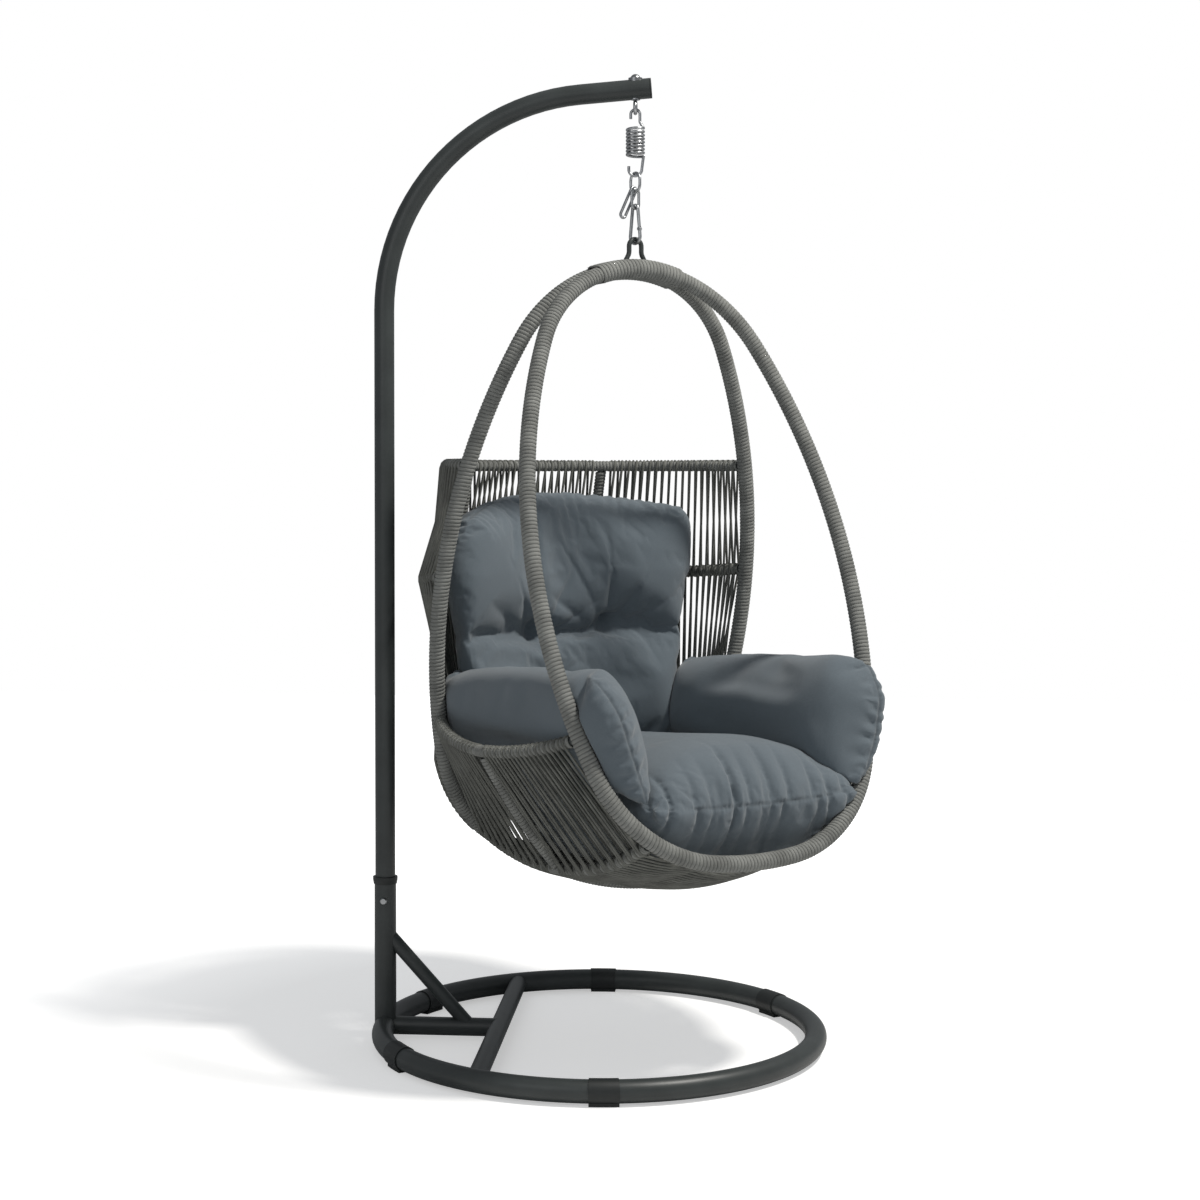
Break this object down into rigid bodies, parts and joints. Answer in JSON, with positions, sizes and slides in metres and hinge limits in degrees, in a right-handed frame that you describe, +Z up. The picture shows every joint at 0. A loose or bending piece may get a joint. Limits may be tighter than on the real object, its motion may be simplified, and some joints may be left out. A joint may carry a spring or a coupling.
{
  "type": "hanging egg chair",
  "caption": "Single hanging egg chair: rope-wrapped tube basket with cord panels and loose cushions, hung by spring and snap hook from a bent pole on a round floor ring.",
  "frame": {"origin": "centre of the whole object's bounding box on the floor", "axes": "+X from the post towards the hanging point, +Z up, +Y to the far side of the picture; the basket at rest is turned 54 degrees from +X towards -Y"},
  "size_m": [1.0433, 0.983, 2.0188],
  "materials": {
    "dark_paint": "satin",
    "black_plastic": "matte",
    "zinc_steel": "satin",
    "rope": "matte",
    "cord": "matte",
    "cushion_cloth": "matte"
  },
  "bodies": {
    "stand": {"ring_post_section": "dark_paint", "ring_front_left_section": "dark_paint", "ring_front_right_section": "dark_paint", "ring_rear_right_section": "dark_paint", "ring_rear_left_section": "dark_paint", "foot_sleeves": "black_plastic", "ring_spigots": "dark_paint", "base_strut": "dark_paint", "base_crossbar": "dark_paint", "post_brace": "dark_paint", "post_socket": "dark_paint", "socket_collar": "black_plastic", "pole": "dark_paint", "pole_bolt": "zinc_steel", "pole_bolt_nut": "zinc_steel", "pole_end_plug": "black_plastic", "eye_bolt": "zinc_steel", "eye_bolt_washers": "zinc_steel", "cap_nut": "zinc_steel"},
    "spring": {"extension_spring": "zinc_steel"},
    "upper_link": {"upper_chain_link": "zinc_steel"},
    "lower_link": {"lower_chain_link": "zinc_steel"},
    "spare_link": {"spare_link": "zinc_steel"},
    "snap_hook": {"snap_hook_body": "zinc_steel", "gate_pin": "zinc_steel"},
    "gate": {"snap_hook_gate": "zinc_steel"},
    "basket": {"hanger_loop": "dark_paint", "front_hoop_tube": "dark_paint", "rear_hoop_tube": "dark_paint", "top_wrap": "rope", "front_hoop_wrap": "rope", "rear_hoop_wrap": "rope", "back_bar_upper": "dark_paint", "back_bar_lower": "dark_paint", "seat_rear_rail": "dark_paint", "back_ribs": "dark_paint", "left_arm_rim": "dark_paint", "right_arm_rim": "dark_paint", "seat_side_rails": "dark_paint", "keel_bar": "dark_paint", "cross_rib": "dark_paint", "back_bar_upper_wrap": "rope", "back_bar_lower_wrap": "rope", "seat_rear_rail_wrap": "rope", "back_rib_wraps": "rope", "left_arm_rim_wrap": "rope", "right_arm_rim_wrap": "rope", "seat_side_rail_wraps": "rope", "keel_bar_wrap": "rope", "cross_rib_wrap": "rope", "back_cords_upper": "cord", "back_cords_lower": "cord", "left_side_cords": "cord", "right_side_cords": "cord", "bottom_cords": "cord", "seat_cushion": "cushion_cloth", "back_cushion": "cushion_cloth", "left_arm_bolster": "cushion_cloth", "right_arm_bolster": "cushion_cloth"}
  },
  "joints": [
    {"name": "spring_swing", "type": "hinge", "parent": "stand", "child": "spring", "pos_m": [0.03124, 0.00641, 1.93828], "axis": [0, 1, 0], "range_deg": [-10, 1]},
    {"name": "spring_stretch", "type": "slide", "parent": "spring", "child": "upper_link", "axis": [0, 0, -1], "range_m": [0, 0.03], "stiffness_N_per_m": 30000, "springref_m": -0.02, "deforming": ["extension_spring"]},
    {"name": "link_swing", "type": "hinge", "parent": "upper_link", "child": "lower_link", "pos_m": [0.03124, 0.00641, 1.77488], "axis": [1, 0, 0], "range_deg": [-5, 5]},
    {"name": "spare_link_swing", "type": "hinge", "parent": "upper_link", "child": "spare_link", "pos_m": [0.02602, 0.01286, 1.7772], "axis": [0.6691, -0.7431, 0], "range_deg": [-10, 0]},
    {"name": "hook_turn", "type": "hinge", "parent": "lower_link", "child": "snap_hook", "pos_m": [0.03124, 0.00641, 1.74118], "axis": [0, 0, 1], "range_deg": [-21, 10]},
    {"name": "gate_hinge", "type": "hinge", "parent": "snap_hook", "child": "gate", "pos_m": [0.04049, -0.00252, 1.69848], "axis": [0.6947, 0.7193, 0], "range_deg": [-20, 0], "stiffness_Nm_per_rad": 0.04, "springref_deg": 20.05},
    {"name": "basket_turn", "type": "hinge", "parent": "lower_link", "child": "basket", "pos_m": [0.03124, 0.00641, 1.67778], "axis": [0, 0, 1], "range_deg": [-42, 20]}
  ],
  "couplings": [
    {"joint": "hook_turn", "follows": "basket_turn", "ratio": 0.5}
  ]
}
